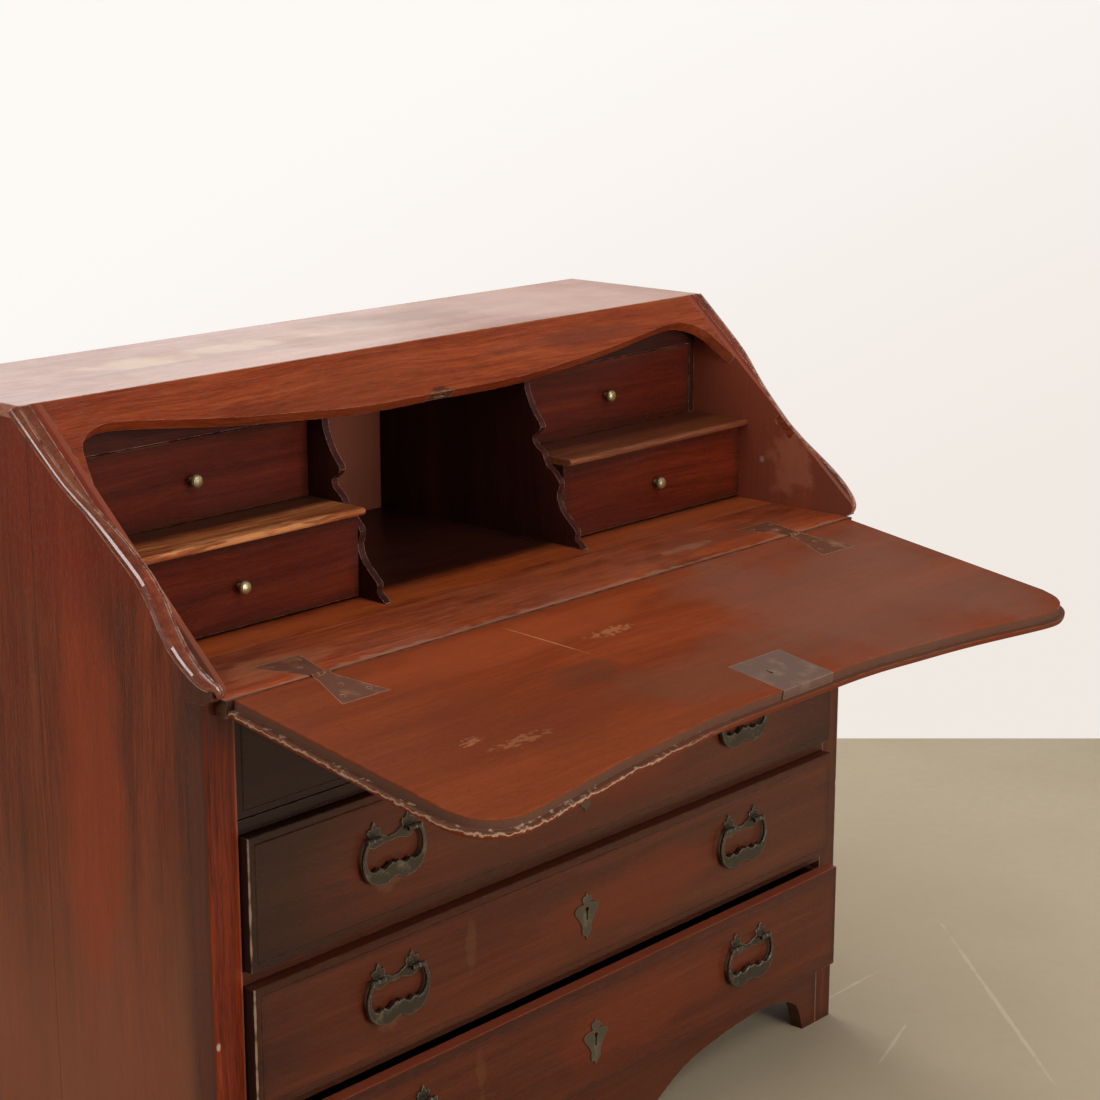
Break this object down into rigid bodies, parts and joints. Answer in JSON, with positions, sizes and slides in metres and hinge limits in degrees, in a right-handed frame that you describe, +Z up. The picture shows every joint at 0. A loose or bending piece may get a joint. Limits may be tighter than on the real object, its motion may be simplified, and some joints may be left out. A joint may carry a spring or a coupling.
{
  "type": "secretary desk",
  "caption": "Slant-front secretary desk in dark wood: shaped fall lid on butterfly hinges, wide drawers with swinging bail handles, small inner drawers and scrolled partitions.",
  "frame": {"origin": "on the floor, in the middle of the box of the desk with its lid down", "axes": "+Z up, +X along the width to the right as seen from the front, +Y from the front towards the back"},
  "size_m": [1.218, 0.9174, 1.045],
  "materials": {
    "front_wood": "waxed, darkened",
    "drawer_box_wood": "bare and aged",
    "bronze": "dark brown patina",
    "case_wood": "waxed satin, worn on the arrises",
    "inner_wood": "waxed satin",
    "iron": "dark, flush with the wood",
    "knob_brass": "dull polish",
    "top_wood": "waxed, faded by light"
  },
  "bodies": {
    "case": {"apron": "front_wood", "back_board": "front_wood", "bottom_board": "front_wood", "edge_moulding_left": "case_wood", "edge_moulding_right": "case_wood", "fall_rail": "case_wood", "fascia": "front_wood", "frieze_left": "inner_wood", "frieze_right": "inner_wood", "hinge_case_leaf_left": "iron", "hinge_case_leaf_right": "iron", "partition_left": "inner_wood", "partition_right": "inner_wood", "post_left": "case_wood", "post_right": "case_wood", "rail_lower": "front_wood", "rail_middle": "front_wood", "rail_upper": "front_wood", "shelf_left": "inner_wood", "shelf_right": "inner_wood", "side_left": "case_wood", "side_right": "case_wood", "strike_plate": "iron", "top_board": "top_wood", "writing_board_front": "case_wood", "writing_board_rear": "case_wood"},
    "lid": {"hinge_lid_leaf_left": "iron", "hinge_lid_leaf_right": "iron", "lid_board": "case_wood", "lid_lock": "iron"},
    "drawer_lower": {"drawer_lower_box": "drawer_box_wood", "drawer_lower_escutcheon": "bronze", "drawer_lower_front": "front_wood", "drawer_lower_handle_left_plate": "bronze", "drawer_lower_handle_right_plate": "bronze"},
    "drawer_lower_handle_left_bail": {"drawer_lower_handle_left_bail": "bronze"},
    "drawer_lower_handle_right_bail": {"drawer_lower_handle_right_bail": "bronze"},
    "drawer_middle": {"drawer_middle_box": "drawer_box_wood", "drawer_middle_escutcheon": "bronze", "drawer_middle_front": "front_wood", "drawer_middle_handle_left_plate": "bronze", "drawer_middle_handle_right_plate": "bronze"},
    "drawer_middle_handle_left_bail": {"drawer_middle_handle_left_bail": "bronze"},
    "drawer_middle_handle_right_bail": {"drawer_middle_handle_right_bail": "bronze"},
    "drawer_upper": {"drawer_upper_box": "drawer_box_wood", "drawer_upper_escutcheon": "bronze", "drawer_upper_front": "front_wood", "drawer_upper_handle_left_plate": "bronze", "drawer_upper_handle_right_plate": "bronze"},
    "drawer_upper_handle_left_bail": {"drawer_upper_handle_left_bail": "bronze"},
    "drawer_upper_handle_right_bail": {"drawer_upper_handle_right_bail": "bronze"},
    "small_drawer_lower_left": {"small_drawer_lower_left": "inner_wood", "small_drawer_lower_left_knob": "knob_brass"},
    "small_drawer_lower_right": {"small_drawer_lower_right": "inner_wood", "small_drawer_lower_right_knob": "knob_brass"},
    "small_drawer_upper_left": {"small_drawer_upper_left": "inner_wood", "small_drawer_upper_left_knob": "knob_brass"},
    "small_drawer_upper_right": {"small_drawer_upper_right": "inner_wood", "small_drawer_upper_right_knob": "knob_brass"}
  },
  "joints": [
    {"name": "lid_fall", "type": "hinge", "parent": "case", "child": "lid", "pos_m": [0, -0.09065, 0.762], "axis": [1, 0, 0], "range_deg": [-146.8, 0]},
    {"name": "drawer_lower_slide", "type": "slide", "parent": "case", "child": "drawer_lower", "axis": [0, -1, 0], "range_m": [-0.034, 0.35]},
    {"name": "drawer_lower_handle_left_swing", "type": "hinge", "parent": "drawer_lower", "child": "drawer_lower_handle_left_bail", "pos_m": [-0.33, -0.11115, 0.20665], "axis": [-1, 0, 0], "range_deg": [0, 95]},
    {"name": "drawer_lower_handle_right_swing", "type": "hinge", "parent": "drawer_lower", "child": "drawer_lower_handle_right_bail", "pos_m": [0.33, -0.11115, 0.20665], "axis": [-1, 0, 0], "range_deg": [0, 95]},
    {"name": "drawer_middle_slide", "type": "slide", "parent": "case", "child": "drawer_middle", "axis": [0, -1, 0], "range_m": [-0.018, 0.35]},
    {"name": "drawer_middle_handle_left_swing", "type": "hinge", "parent": "drawer_middle", "child": "drawer_middle_handle_left_bail", "pos_m": [-0.33, -0.09515, 0.37475], "axis": [-1, 0, 0], "range_deg": [0, 95]},
    {"name": "drawer_middle_handle_right_swing", "type": "hinge", "parent": "drawer_middle", "child": "drawer_middle_handle_right_bail", "pos_m": [0.33, -0.09515, 0.37475], "axis": [-1, 0, 0], "range_deg": [0, 95]},
    {"name": "drawer_upper_slide", "type": "slide", "parent": "case", "child": "drawer_upper", "axis": [0, -1, 0], "range_m": [-0.015, 0.35]},
    {"name": "drawer_upper_handle_left_swing", "type": "hinge", "parent": "drawer_upper", "child": "drawer_upper_handle_left_bail", "pos_m": [-0.33, -0.09215, 0.5471], "axis": [-1, 0, 0], "range_deg": [0, 95]},
    {"name": "drawer_upper_handle_right_swing", "type": "hinge", "parent": "drawer_upper", "child": "drawer_upper_handle_right_bail", "pos_m": [0.33, -0.09215, 0.5471], "axis": [-1, 0, 0], "range_deg": [0, 95]},
    {"name": "small_drawer_lower_left_slide", "type": "slide", "parent": "case", "child": "small_drawer_lower_left", "axis": [0, -1, 0], "range_m": [0, 0.2]},
    {"name": "small_drawer_lower_right_slide", "type": "slide", "parent": "case", "child": "small_drawer_lower_right", "axis": [0, -1, 0], "range_m": [0, 0.2]},
    {"name": "small_drawer_upper_left_slide", "type": "slide", "parent": "case", "child": "small_drawer_upper_left", "axis": [0, -1, 0], "range_m": [0, 0.17]},
    {"name": "small_drawer_upper_right_slide", "type": "slide", "parent": "case", "child": "small_drawer_upper_right", "axis": [0, -1, 0], "range_m": [0, 0.17]}
  ]
}
